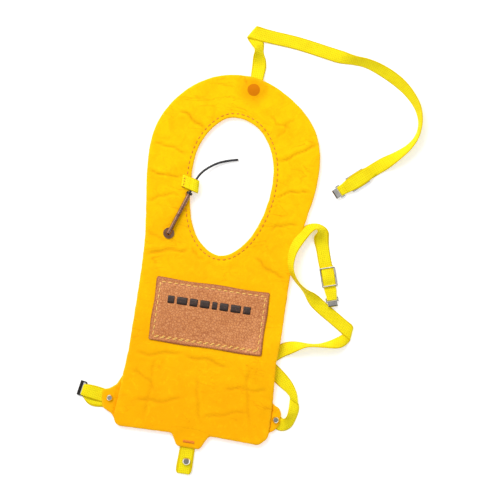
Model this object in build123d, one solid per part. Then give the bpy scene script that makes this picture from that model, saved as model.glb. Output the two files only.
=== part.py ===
from build123d import *
import os
from math import atan2, cos, degrees, pi, radians, sin, tan

# Miniature yellow life vest of the keyhole pattern: a bib with a ring collar, cut from two layers
# of felt, with webbing straps, metal fittings, a leather patch and an inflation tube.
# Frame, in millimetres: the vest lies on its back, +Z up and +Y towards the collar. The origin is
# on the underside of the back layer, on the centre line, under the middle of the leather patch.

# ---- driving dimensions ----
FELT = 0.8            # one felt layer
WEB = 0.5             # one layer of webbing
STRAP_WIDTH = 4.2     # webbing of the straps
TAB_WIDTH = 4.8       # webbing of the hem tab
GAP = 0.1             # clearance between pieces that move apart
FOLD_Y = 48.0         # line on which the collar folds
FOLD_GAP = 1.0        # felt is cut back this much on each side of the fold line
TOP = 2 * FELT        # front face of the vest

PATCH_SIZE = (36.4, 20.4)
PATCH_THICKNESS = 0.5
THREAD = 0.3          # width of a stitch line
THREAD_HEIGHT = 0.15
PATCH_STITCH_INSET = 1.3
NECK_STITCH_INSET = 1.1

RIVET_SHANK_R = 0.45
RIVET_BACK_R = 1.0
RIVET_BACK_THICKNESS = 0.25
EDGE_CAP_R = 1.1      # rivets of the two ears
CENTRE_CAP_R = 1.35

BAR_R = 0.25          # wire of the hooks, the sliders and the ring
BAR_Z = WEB           # a bar lies between the two layers of a webbing loop
LOOP_HOLE_R = BAR_R + 0.06
LOOP_HALF_WIDTH = 1.6
LOOP_BACK = 1.5       # webbing loop, from the hook's bar back to the strap
LOOP_FRONT = 0.45

HOOK_LENGTH = 2.2         # from the bar to the bend
HOOK_HALF_WIDTH = 2.05
HOOK_BEND_R = 0.6
HOOK_SHEET = 0.3
HOOK_TONGUE_Z = 0.6

SLIDER_HALF_LENGTH = 2.9
SLIDER_RAIL_Y = (2.2, 2.5)   # a rail's inner and outer face
SLIDER_RAIL_Z = (0.35, 1.1)
SLIDER_BRIDGE = (0.45, 0.15)  # half length and half thickness of the middle bar

VALVE = (-16.7, 24.4)
VALVE_R = 1.75
VALVE_STEM_R = 0.8
NUT_R = 1.5
NUT_HEIGHT = 0.4
FLANGE_HEIGHT = 0.35
PIPE_Z = 2.8
PIPE_R = 0.65
PIPE_BORE_R = 0.45
PIPE_ANGLE = 70.8     # heading of the pipe from the valve, degrees from +X
PIPE_START, PIPE_END = 1.3, 13.9
FERRULE_R = 1.0
FERRULE_END = 14.7
HOSE_R = 0.375

LOOP_Y = (38.9, 43.1)         # webbing loop that holds the tube
LOOP_INNER_X = (-12.75, -9.0)
LOOP_SHEET = 0.4
LOOP_ROOT_X = -14.9
LOOP_FELT_X = -12.05          # the loop's underside starts past the edge of the felt

# ---- outline of the vest, in the XY plane ----
COLLAR_EDGE = [
    (23.6, 15.7), (25.2, 30.5), (27.7, 45.7), (27.6, 54.7), (24.5, 63.8), (16.1, 72.1),
    (6.4, 76.8), (-3.0, 77.5), (-13.5, 73.9), (-21.5, 66.3), (-25.4, 58.9), (-26.7, 50.5),
    (-26.3, 41.7), (-24.7, 29.0), (-23.6, 8.2),
]
BIB_EDGE = [
    (-23.6, 8.2), (-23.8, -14.0), (-25.5, -35.8), (-24.3, -38.7), (-6.3, -38.4), (-4.2, -42.3),
    (3.1, -42.5), (5.5, -37.8), (21.7, -38.3), (24.3, -35.6), (24.1, -24.8), (23.3, -12.0),
    (23.7, -4.0), (23.6, 15.7),
]
BIB_RADII = [30, 2, 2, 0.8, 0.8, 0.8, 0.8, 2, 2, 20, 8, 8]
NECK_EDGE = [
    (-1.0, 64.1), (6.5, 61.9), (11.6, 55.6), (13.8, 46.0), (12.2, 33.7), (7.3, 23.9),
    (0.6, 19.6), (-5.5, 22.1), (-10.4, 30.2), (-12.2, 41.0), (-11.3, 53.2), (-7.2, 60.6),
]
NECK_CENTRE = (0.9, 41.8)
NECK_HALF = (12.9, 22.2)
LEFT_EAR = [
    (-23.4, -21.0), (-24.9, -23.4), (-26.0, -25.9), (-28.0, -27.4), (-30.0, -28.1),
    (-29.9, -31.0), (-29.4, -33.6), (-26.2, -35.2), (-25.0, -37.0), (-23.0, -37.4),
]
RIGHT_EAR = [
    (22.5, -24.6), (24.4, -25.1), (26.0, -25.5), (26.9, -26.4), (27.3, -28.0), (27.3, -30.4),
    (26.7, -32.0), (25.4, -33.4), (22.5, -34.8),
]

# ---- fittings along the edges ----
RIGHT_RIVET = (25.9, -29.6)
LEFT_RIVET = (-27.6, -30.4)
CENTRE_RIVET = (-0.4, -46.9)
LEFT_TAB_END = (-37.0, -28.7)
LEFT_TAB_FOLD = 3.3   # from the left rivet to the fold of its tab, along the tab
RING_BARS = (8.45, 9.95)  # from the left rivet to the ring's two bars
RING_HALF_WIDTH = 2.2
RING_SIDE = 0.2           # half thickness of the ring's sides
RING_PLATE = 0.5          # half length of its outer, flat bar
CENTRE_TAB_FOLD_Y = -43.0
CENTRE_TAB_END_Y = -50.7
TAB_FOLD_GAP = 0.35   # webbing is cut back this much on each side of a tab's fold line

# ---- straps: the routes of their centre lines, in the XY plane, lying on the table ----
TOP_HOOK_BAR = (35.8, 46.0)
TOP_HOOK_HEADING = -139.0
TOP_SLIDER_BACK = 6.2     # from the hook's bar back up the strap to the slider's middle
TOP_ROUTE = [
    (3.9, 78.5), (3.6, 83.6), (1.9, 88.6), (4.6, 92.2), (12.5, 91.4), (24.0, 89.6),
    (36.5, 87.3), (47.0, 83.6), (54.3, 78.6), (57.2, 71.6), (55.3, 64.4), (49.6, 58.1),
    (42.9, 52.05),
]
WAIST_HOOK_BAR = (37.9, 11.5)
WAIST_HOOK_HEADING = -72.6
WAIST_SLIDER_BACK = 6.9
WAIST_ROUTE = [
    (28.3, -31.3), (30.9, -29.2), (31.2, -25.2), (29.9, -20.0), (26.3, -16.3), (20.6, -13.4),
    (20.9, -8.9), (25.8, -6.6), (32.0, -4.4), (38.6, -3.6), (43.9, -2.0), (45.2, 2.4),
    (39.4, 5.3), (32.6, 9.6), (26.6, 14.3), (21.2, 18.5), (21.0, 24.3), (24.8, 29.4),
    (27.8, 33.6), (31.9, 32.4), (33.2, 26.6), (35.35, 19.7),
]
LOWER_CUTOUT = [(30, -20.5), (18.2, -16.8), (18.2, -5.6), (30, -2.6)]
UPPER_CUTOUT = [(30, 9.2), (18.4, 16.4), (18.4, 26.5), (22.2, 34.0), (30, 37.0)]
HOSE_SPLIT = 9.0          # from the valve to the hose's second point, inside the pipe
HOSE_FREE = [
    (-11.1, 40.5, 2.7), (-10.0, 44.2, 2.2), (-7.0, 47.3, 1.3), (-2.9, 49.8, 0.7), (1.8, 50.9, 0.5),
]


def box(x0, x1, y0, y1, z0, z1):
    return Pos((x0 + x1) / 2, (y0 + y1) / 2, (z0 + z1) / 2) * Box(x1 - x0, y1 - y0, z1 - z0)


def rod(r, z0, z1, at=(0, 0)):
    return Pos(at[0], at[1], (z0 + z1) / 2) * Cylinder(r, z1 - z0)


def cross_bar(r, half_length, u, z):
    """A round bar across a strap: u is along the strap, and the bar lies along Y."""
    return Pos(u, 0, z) * Rot(90, 0, 0) * Cylinder(r, 2 * half_length)


def plate(face, z0, z1):
    return Pos(0, 0, z0) * extrude(face, z1 - z0, dir=(0, 0, 1))


def polar(point, heading, distance):
    turn = radians(heading)
    return (point[0] + distance * cos(turn), point[1] + distance * sin(turn))


def arc_radii(points):
    """The largest arcs that fit a route: 0.45 of the shorter run over tan(half the turn)."""
    path = [Vector(*p) for p in points]
    radii = []
    for before, corner, after in zip(path, path[1:], path[2:]):
        turn = (corner - before).get_angle(after - corner)
        shorter = min((corner - before).length, (after - corner).length)
        radii.append(0.45 * shorter / tan(radians(turn / 2)))
    return radii


def below_fold(solid):
    return solid & box(-60, 60, -80, FOLD_Y - FOLD_GAP, -5, 10)


def above_fold(solid):
    return solid & box(-60, 60, FOLD_Y + FOLD_GAP, 120, -5, 10)


# ---- felt ----
def vest_face():
    collar = Spline(*COLLAR_EDGE, tangents=[(0.05, 1), (0, -1)])
    bib = FilletPolyline(*BIB_EDGE, radius=BIB_RADII)
    return make_face(collar + bib) - neck_face(0)


def neck_face(grow):
    """The neck opening, grown outwards along the normals of the ellipse that it nearly is."""
    points = []
    for x, y in NECK_EDGE:
        normal = Vector((x - NECK_CENTRE[0]) / NECK_HALF[0]**2, (y - NECK_CENTRE[1]) / NECK_HALF[1]**2)
        points.append(Vector(x, y) + normal.normalized() * grow)
    return make_face(Spline(*points, periodic=True))


def strap_cutouts():
    """Where the waist strap tucks under the edge of the vest."""
    lower = make_face(Polyline(*LOWER_CUTOUT, close=True))
    upper = make_face(Polyline(*UPPER_CUTOUT, close=True))
    return plate(lower, 0, FELT) + plate(upper, 0, FELT)


def front_layer():
    return plate(vest_face(), FELT, TOP)


def back_layer():
    """The back layer, with an ear on each side that lies over the webbing riveted to it."""
    hem = box(-60, 60, -37.6, 120, -1, TOP)
    outline = make_face(Polyline(*LEFT_EAR, close=True)) + make_face(Polyline(*RIGHT_EAR, close=True))
    ears = plate(outline, WEB, FELT + WEB) - front_layer()
    return (plate(vest_face(), 0, FELT) & hem) + ears - strap_cutouts()


def rivet_hole(at):
    return rod(RIVET_SHANK_R, -1, 5, at) + rod(RIVET_BACK_R, -1, RIVET_BACK_THICKNESS, at)


def rivet_holes():
    return rivet_hole(LEFT_RIVET) + rivet_hole(RIGHT_RIVET)


def back_bib():
    valve = rod(VALVE_STEM_R, -1, 5, VALVE) + rod(NUT_R, -1, NUT_HEIGHT, VALVE)
    return below_fold(back_layer()) - rivet_holes() - valve


def front_bib():
    cap_clearance = rod(EDGE_CAP_R + 0.05, -1, 5, RIGHT_RIVET)
    return below_fold(front_layer()) - rod(VALVE_STEM_R, -1, 5, VALVE) - cap_clearance


def back_collar():
    return above_fold(back_layer())


def front_collar():
    return above_fold(front_layer()) - strap_pocket(90, 0)


def strap_pocket(end_y, low):
    """The space between the felt layers that the collar strap's end takes."""
    middle = TOP_ROUTE[0][0]
    return box(middle - STRAP_WIDTH / 2, middle + STRAP_WIDTH / 2, 71.0, end_y, low, FELT + WEB)


def neck_stitching():
    """The stitch line round the neck opening, interrupted under the root of the tube's loop."""
    outer = plate(neck_face(NECK_STITCH_INSET + THREAD), TOP, TOP + THREAD_HEIGHT)
    under_loop = box(LOOP_ROOT_X - 0.3, -12, LOOP_Y[0] - 0.2, LOOP_Y[1] + 0.2, 0, 9)
    return outer - plate(neck_face(NECK_STITCH_INSET), 0, 9) - under_loop


# ---- leather patch ----
def patch_outline(shrink):
    return RectangleRounded(PATCH_SIZE[0] - 2 * shrink, PATCH_SIZE[1] - 2 * shrink, 0.6)


def leather_patch():
    return plate(patch_outline(0), TOP, TOP + PATCH_THICKNESS)


def patch_stitching():
    ring = patch_outline(PATCH_STITCH_INSET) - patch_outline(PATCH_STITCH_INSET + THREAD)
    return plate(ring, TOP + PATCH_THICKNESS, TOP + PATCH_THICKNESS + THREAD_HEIGHT)


# ---- rivets ----
def rivet_cap(at, cap_r, seat_z):
    """A domed cap on its seat, with a shank down to the rivet's back."""
    dome = Pos(at[0], at[1], seat_z) * (Sphere(cap_r) & box(-3, 3, -3, 3, 0, 0.75 * cap_r))
    return dome + rod(RIVET_SHANK_R, RIVET_BACK_THICKNESS, seat_z + 0.1, at)


def rivet_back(at):
    return rod(RIVET_BACK_R, 0, RIVET_BACK_THICKNESS, at)


# ---- webbing pieces that don't move on their own ----
def top_strap_root():
    return strap_pocket(78.3, FELT)


def strap_anchor_disc():
    return rod(2.2, TOP, TOP + 0.2, (3.4, 73.6))


def waist_strap_root():
    root = box(-1.9, 2.9, -STRAP_WIDTH / 2, STRAP_WIDTH / 2, 0, WEB)
    root = Pos(RIGHT_RIVET[0], RIGHT_RIVET[1], 0) * Rot(0, 0, -34) * root
    return root - plate(vest_face(), 0, FELT) - rivet_hole(RIGHT_RIVET) - waist_webbing()[0]


def left_tab_plane():
    heading = degrees(atan2(LEFT_TAB_END[1] - LEFT_RIVET[1], LEFT_TAB_END[0] - LEFT_RIVET[0]))
    return Pos(LEFT_RIVET[0], LEFT_RIVET[1], 0) * Rot(0, 0, heading)


def left_tab_root():
    root = box(-1.6, LEFT_TAB_FOLD - TAB_FOLD_GAP, -2.4, 3.0, 0, WEB)
    return left_tab_plane() * root - plate(vest_face(), 0, FELT) - rivet_hole(LEFT_RIVET)


def left_tab():
    near, far = LEFT_TAB_FOLD + TAB_FOLD_GAP, RING_BARS[0] + 0.6
    waist = far - 2.6
    corners = [(near, -2.4), (waist, -2.2), (waist + 0.5, -1.8), (far, -1.8), (far, 1.8), (waist + 0.5, 1.8),
               (waist, 3.0), (near, 3.2)]
    body = plate(make_face(Polyline(*corners, close=True)), 0, 2 * WEB)
    return left_tab_plane() * (body - cross_bar(LOOP_HOLE_R, 4, RING_BARS[0], BAR_Z))


def left_ring():
    near, far = RING_BARS
    half = RING_HALF_WIDTH
    low, high = BAR_Z - RING_SIDE, BAR_Z + RING_SIDE
    outer = box(far - RING_PLATE, far + RING_PLATE, -half - RING_SIDE, half + RING_SIDE, low, high)
    side = box(near, far, -half - RING_SIDE, -half + RING_SIDE, low, high)
    ring = cross_bar(BAR_R, half, near, BAR_Z) + outer + side + mirror(side, Plane.XZ)
    return left_tab_plane() * ring


def centre_tab_root():
    half = TAB_WIDTH / 2
    return box(-0.6 - half, -0.6 + half, -42.3, -38.2, FELT - WEB, FELT)


def centre_bartack():
    return box(-2.4, 1.2, -41.0, -40.1, TOP, TOP + THREAD_HEIGHT)


def centre_tab():
    half = TAB_WIDTH / 2
    body = box(-0.6 - half, -0.6 + half, CENTRE_TAB_END_Y, CENTRE_TAB_FOLD_Y - TAB_FOLD_GAP, 0, 2 * WEB)
    body = fillet(body.edges().filter_by(Axis.Z).group_by(Axis.Y)[0], 1.2)
    return body - rivet_hole(CENTRE_RIVET)


# ---- straps, hooks and sliders ----
def flat_strap(points):
    """A flat strap on the table along a route, and its route's length and radii."""
    radii = arc_radii([(x, y, 0) for x, y in points])
    path = FilletPolyline(*points, radius=radii)
    face = make_face(trace(path, STRAP_WIDTH))
    return plate(face, 0, WEB), path.length, radii


def top_strap():
    points = TOP_ROUTE + [polar(TOP_HOOK_BAR, TOP_HOOK_HEADING, -LOOP_BACK - GAP)]
    strap, length, radii = flat_strap(points)
    report("top_strap", strap, STRAP_WIDTH * WEB, length, radii)
    return strap


def waist_webbing():
    return flat_strap(WAIST_ROUTE + [polar(WAIST_HOOK_BAR, WAIST_HOOK_HEADING, -LOOP_BACK - GAP)])


def waist_strap():
    strap, length, radii = waist_webbing()
    report("waist_strap", strap, STRAP_WIDTH * WEB, length, radii)
    return strap


def strap_end():
    loop = box(-LOOP_BACK, LOOP_FRONT, -LOOP_HALF_WIDTH, LOOP_HALF_WIDTH, 0, 2 * WEB)
    return loop - cross_bar(LOOP_HOLE_R, 4, 0, BAR_Z)


def hook():
    """A hook bent from sheet: two arms on the bar, a neck, a tongue, and a lip turned back over it."""
    low, high = HOOK_TONGUE_Z, HOOK_TONGUE_Z + HOOK_SHEET
    arm = box(-BAR_R, 1.1, LOOP_HALF_WIDTH + GAP, HOOK_HALF_WIDTH, 0.3, high)
    neck = box(0.85, 1.15, -HOOK_HALF_WIDTH, HOOK_HALF_WIDTH, low, high)
    tongue = box(0.85, HOOK_LENGTH, -1.5, 1.5, low, high)
    bend_z = low + HOOK_BEND_R
    bend = cross_bar(HOOK_BEND_R, 1.5, HOOK_LENGTH, bend_z)
    bend = bend - cross_bar(HOOK_BEND_R - HOOK_SHEET, 2, HOOK_LENGTH, bend_z)
    bend = bend & box(HOOK_LENGTH, 4, -2, 2, 0, 3)
    lip = box(1.0, HOOK_LENGTH, -1.2, 1.2, bend_z + HOOK_BEND_R - HOOK_SHEET, bend_z + HOOK_BEND_R)
    bar = cross_bar(BAR_R, HOOK_HALF_WIDTH, 0, BAR_Z)
    return bar + arm + mirror(arm, Plane.XZ) + neck + tongue + bend + lip


def slider():
    low, high = SLIDER_RAIL_Y
    reach = SLIDER_HALF_LENGTH
    rail = box(-reach, reach, low, high, *SLIDER_RAIL_Z)
    z = WEB + GAP + BAR_R
    bars = cross_bar(BAR_R, high, -reach, z) + cross_bar(BAR_R, high, reach, z)
    half, thick = SLIDER_BRIDGE
    return rail + mirror(rail, Plane.XZ) + bars + box(-half, half, -low, low, z - thick, z + thick)


def on_strap(solid, bar, heading, back=0):
    at = polar(bar, heading, -back)
    return Pos(at[0], at[1], 0) * Rot(0, 0, heading) * solid


# ---- inflation tube ----
def valve_flange():
    """A round plate with a groove, on a stem that goes through the felt to the nut."""
    high = TOP + FLANGE_HEIGHT
    flange = rod(VALVE_R, TOP, high) - rod(1.45, high - 0.1, high + 1) + rod(1.2, TOP, high)
    return Pos(VALVE[0], VALVE[1], 0) * (flange + rod(VALVE_STEM_R, NUT_HEIGHT, TOP + 0.1))


def valve_nut():
    return rod(NUT_R, 0, NUT_HEIGHT, VALVE)


def tube_frame():
    """Moves a piece drawn along +X at the origin onto the pipe's line, over the valve."""
    return Pos(VALVE[0], VALVE[1], PIPE_Z) * Rot(0, 0, PIPE_ANGLE)


def along(r, x0, x1):
    return Pos((x0 + x1) / 2, 0, 0) * Rot(0, 90, 0) * Cylinder(r, x1 - x0)


def valve_elbow():
    foot = rod(0.7, TOP + FLANGE_HEIGHT + 0.05 - PIPE_Z, 0)
    shell = foot + Sphere(0.78) + along(0.78, 0, PIPE_START)
    return tube_frame() * (shell - along(PIPE_BORE_R, 1.0, 3))


def mouth_pipe():
    return tube_frame() * (along(PIPE_R, PIPE_START, PIPE_END) - along(PIPE_BORE_R, 0, 20))


def pipe_ferrule():
    return tube_frame() * (along(FERRULE_R, PIPE_END, FERRULE_END) - along(PIPE_BORE_R, 0, 20))


def mouth_hose():
    start = polar(VALVE, PIPE_ANGLE, PIPE_START)
    middle = polar(polar(VALVE, PIPE_ANGLE, HOSE_SPLIT), PIPE_ANGLE + 90, 0.02)
    points = [(*start, PIPE_Z), (*middle, PIPE_Z)] + HOSE_FREE
    radii = arc_radii(points)
    path = FilletPolyline(*points, radius=radii)
    section = Plane(origin=path @ 0, z_dir=path % 0) * Circle(HOSE_R)
    hose = sweep(section, path=path)
    report("mouth_hose", hose, pi * HOSE_R**2, path.length, radii)
    return hose


def tube_loop():
    low_y, high_y = LOOP_Y
    inner_x, outer_x = LOOP_INNER_X
    band = box(inner_x - LOOP_SHEET, outer_x + LOOP_SHEET, low_y, high_y, 1.0, 3.95)
    band = band - box(inner_x, outer_x, low_y - 1, high_y + 1, 1.0 + LOOP_SHEET, 3.95 - LOOP_SHEET)
    root = box(LOOP_ROOT_X, inner_x - LOOP_SHEET / 2, low_y, high_y, TOP, TOP + LOOP_SHEET)
    return band - box(inner_x - 1, LOOP_FELT_X, low_y - 1, high_y + 1, 0, TOP) + root


def loop_stitching():
    low_y, high_y = LOOP_Y
    seat = TOP + LOOP_SHEET
    return box(LOOP_ROOT_X + 0.5, LOOP_ROOT_X + 0.8, low_y + 0.4, high_y - 0.4, seat, seat + THREAD_HEIGHT)


def report(name, solid, section, length, radii):
    print(name, "length", round(length, 1), "volume", round(solid.volume, 1), "section x length",
          round(section * length, 1), "radii", [round(r, 1) for r in radii])


def nodes():
    return {
        "back_bib": back_bib(),
        "front_bib": front_bib(),
        "back_collar": back_collar(),
        "front_collar": front_collar(),
        "neck_stitching_lower": below_fold(neck_stitching()),
        "neck_stitching_upper": above_fold(neck_stitching()),
        "leather_patch": leather_patch(),
        "patch_stitching": patch_stitching(),
        "top_strap_root": top_strap_root(),
        "strap_anchor_disc": strap_anchor_disc(),
        "top_strap": top_strap(),
        "top_strap_end": on_strap(strap_end(), TOP_HOOK_BAR, TOP_HOOK_HEADING),
        "top_slider": on_strap(slider(), TOP_HOOK_BAR, TOP_HOOK_HEADING, TOP_SLIDER_BACK),
        "top_hook": on_strap(hook(), TOP_HOOK_BAR, TOP_HOOK_HEADING),
        "waist_strap_root": waist_strap_root(),
        "waist_strap": waist_strap(),
        "waist_strap_end": on_strap(strap_end(), WAIST_HOOK_BAR, WAIST_HOOK_HEADING),
        "waist_slider": on_strap(slider(), WAIST_HOOK_BAR, WAIST_HOOK_HEADING, WAIST_SLIDER_BACK),
        "waist_hook": on_strap(hook(), WAIST_HOOK_BAR, WAIST_HOOK_HEADING),
        "right_rivet_cap": rivet_cap(RIGHT_RIVET, EDGE_CAP_R, FELT + WEB),
        "right_rivet_back": rivet_back(RIGHT_RIVET),
        "left_tab_root": left_tab_root(),
        "left_tab": left_tab(),
        "left_ring": left_ring(),
        "left_rivet_cap": rivet_cap(LEFT_RIVET, EDGE_CAP_R, FELT + WEB),
        "left_rivet_back": rivet_back(LEFT_RIVET),
        "centre_tab_root": centre_tab_root(),
        "centre_tab": centre_tab(),
        "centre_bartack": centre_bartack(),
        "centre_rivet_cap": rivet_cap(CENTRE_RIVET, CENTRE_CAP_R, 2 * WEB),
        "centre_rivet_back": rivet_back(CENTRE_RIVET),
        "valve_flange": valve_flange(),
        "valve_nut": valve_nut(),
        "valve_elbow": valve_elbow(),
        "mouth_pipe": mouth_pipe(),
        "pipe_ferrule": pipe_ferrule(),
        "mouth_hose": mouth_hose(),
        "tube_loop": tube_loop(),
        "loop_stitching": loop_stitching(),
    }


os.makedirs("parts", exist_ok=True)
for name, solid in nodes().items():
    export_step(solid, f"parts/{name}.step")
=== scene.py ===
"""Looks of the miniature life vest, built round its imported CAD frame. Lengths are in metres."""
import math

import bpy
import numpy as np
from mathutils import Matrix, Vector, noise
from mathutils.geometry import delaunay_2d_cdt


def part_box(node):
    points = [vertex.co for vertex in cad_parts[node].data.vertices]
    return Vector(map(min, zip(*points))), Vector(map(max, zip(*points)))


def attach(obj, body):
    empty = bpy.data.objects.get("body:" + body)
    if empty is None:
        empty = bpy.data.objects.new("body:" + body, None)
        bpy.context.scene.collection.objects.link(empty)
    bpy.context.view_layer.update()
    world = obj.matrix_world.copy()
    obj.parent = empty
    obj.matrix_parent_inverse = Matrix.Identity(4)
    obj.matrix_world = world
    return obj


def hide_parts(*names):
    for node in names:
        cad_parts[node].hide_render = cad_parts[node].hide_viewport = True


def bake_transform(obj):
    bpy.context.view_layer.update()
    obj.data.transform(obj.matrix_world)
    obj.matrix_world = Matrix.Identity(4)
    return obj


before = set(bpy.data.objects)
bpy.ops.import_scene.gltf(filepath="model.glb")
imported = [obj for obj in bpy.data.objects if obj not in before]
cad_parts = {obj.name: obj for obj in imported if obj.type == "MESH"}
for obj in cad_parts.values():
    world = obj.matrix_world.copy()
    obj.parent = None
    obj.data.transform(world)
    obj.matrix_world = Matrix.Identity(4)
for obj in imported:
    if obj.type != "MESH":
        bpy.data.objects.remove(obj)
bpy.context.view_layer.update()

MM = 0.001
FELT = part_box("front_bib")[0][2]          # one felt layer
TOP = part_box("front_bib")[1][2]           # front face of the vest
STRAP_HALF = 2.1 * MM
WEB = 0.42 * MM                           # thickness of the webbing
FOLD_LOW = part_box("front_bib")[1][1]
FOLD_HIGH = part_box("front_collar")[0][1]

# Places of small pieces in the XY plane and headings, in millimetres and degrees.
PATCH_X, PATCH_Y, PATCH_CORNER = 18.2, 10.2, 0.6
ANCHOR, ANCHOR_RADIUS = (3.4, 73.6), 2.2
LEFT_RIVET, LEFT_HEADING = (-27.6, -30.4), 169.7
TOP_BAR, TOP_HEADING = (35.8, 46.0), -139.0
WAIST_BAR, WAIST_HEADING = (37.9, 11.5), -72.6


# ---------------------------------------------------------------- small tools
def mm(*values):
    return tuple(v * MM for v in values)


def local(origin, heading, u, v=0.0):
    """A point u along a heading and v across it, from an origin in the XY plane."""
    az = math.radians(heading)
    return (origin[0] + u * math.cos(az) - v * math.sin(az), origin[1] + u * math.sin(az) + v * math.cos(az))


def smoothstep(t):
    t = np.clip(t, 0, 1)
    return t * t * (3 - 2 * t)


def mesh_piece(name, verts, faces, material, smooth=True, attributes=None):
    mesh = bpy.data.meshes.new(name)
    mesh.from_pydata([tuple(map(float, v)) for v in verts], [], [tuple(map(int, f)) for f in faces])
    mesh.validate()
    mesh.polygons.foreach_set("use_smooth", [smooth] * len(mesh.polygons))
    for key, values in (attributes or {}).items():
        values = np.asarray(values, np.float32)
        kind = "FLOAT" if values.ndim == 1 else "FLOAT_VECTOR"
        layer = mesh.attributes.new(key, kind, "POINT")
        layer.data.foreach_set("value" if values.ndim == 1 else "vector", values.ravel())
    mesh.materials.append(material)
    mesh.update()
    piece = bpy.data.objects.new(name, mesh)
    bpy.context.scene.collection.objects.link(piece)
    return piece


def nurbs_curve(name, points, resolution):
    curve = bpy.data.curves.new(name, "CURVE")
    curve.dimensions = "3D"
    spline = curve.splines.new("NURBS")
    spline.points.add(len(points) - 1)
    for point, place in zip(spline.points, points):
        point.co = (*place, 1)
    spline.order_u = 3
    spline.use_endpoint_u = True
    spline.resolution_u = resolution
    piece = bpy.data.objects.new(name, curve)
    bpy.context.scene.collection.objects.link(piece)
    return piece


def nurbs_points(points, resolution=12):
    """The points of a smooth NURBS spline whose control points are given."""
    guide = nurbs_curve("guide", points, resolution)
    bpy.context.view_layer.update()
    mesh = bpy.data.meshes.new_from_object(guide)
    line = np.array([v.co for v in mesh.vertices])
    curve = guide.data
    bpy.data.objects.remove(guide)
    bpy.data.curves.remove(curve)
    bpy.data.meshes.remove(mesh)
    return line


def unit(v):
    return v / np.maximum(np.linalg.norm(v, axis=-1, keepdims=True), 1e-12)


def side_normals(loop):
    """The unit normal at each point of a closed loop, to the right of its direction."""
    tangent = unit(np.roll(loop, -1, 0) - np.roll(loop, 1, 0))
    return np.stack([tangent[:, 1], -tangent[:, 0]], axis=1)


def arc_length(line):
    steps = np.linalg.norm(np.diff(line, axis=0), axis=1)
    return np.concatenate([[0], np.cumsum(steps)])


def resample(line, spacing, closed=True):
    """Evenly spaced points on a polyline."""
    line = np.vstack([line, line[:1]]) if closed else line
    s = arc_length(line)
    count = max(int(round(s[-1] / spacing)), 3)
    at = np.linspace(0, s[-1], count, endpoint=False) if closed else np.linspace(0, s[-1], count + 1)
    return np.stack([np.interp(at, s, line[:, k]) for k in range(line.shape[1])], axis=1)


def soften(loop, passes):
    for _ in range(passes):
        loop = 0.5 * loop + 0.25 * (np.roll(loop, 1, 0) + np.roll(loop, -1, 0))
    return loop


def distance_to(points, line):
    """Distance in the XY plane from each point to a dense line of points."""
    out = np.empty(len(points))
    for k in range(0, len(points), 2000):
        part = points[k:k + 2000, None, :2] - line[None, :, :2]
        out[k:k + 2000] = np.sqrt((part ** 2).sum(-1)).min(1)
    return out


def inside(points, loop):
    """Whether each point lies inside a closed loop, by counting crossings."""
    a, b = loop, np.roll(loop, -1, 0)
    result = np.zeros(len(points), bool)
    for k in range(0, len(points), 4000):
        x, y = points[k:k + 4000, :1], points[k:k + 4000, 1:2]
        spans = (a[:, 1] > y) != (b[:, 1] > y)
        with np.errstate(divide="ignore", invalid="ignore"):
            cross = a[:, 0] + (y - a[:, 1]) / (b[:, 1] - a[:, 1]) * (b[:, 0] - a[:, 0])
        result[k:k + 4000] = ((spans & (x < cross)).sum(1) % 2) == 1
    return result


def perlin(points, scale, seed=0.0):
    """Smooth noise from -1 to 1 at points of the XY plane, with features about `scale` across."""
    return np.array([noise.noise(Vector((x / scale, y / scale, seed))) for x, y in points[:, :2]])


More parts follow.
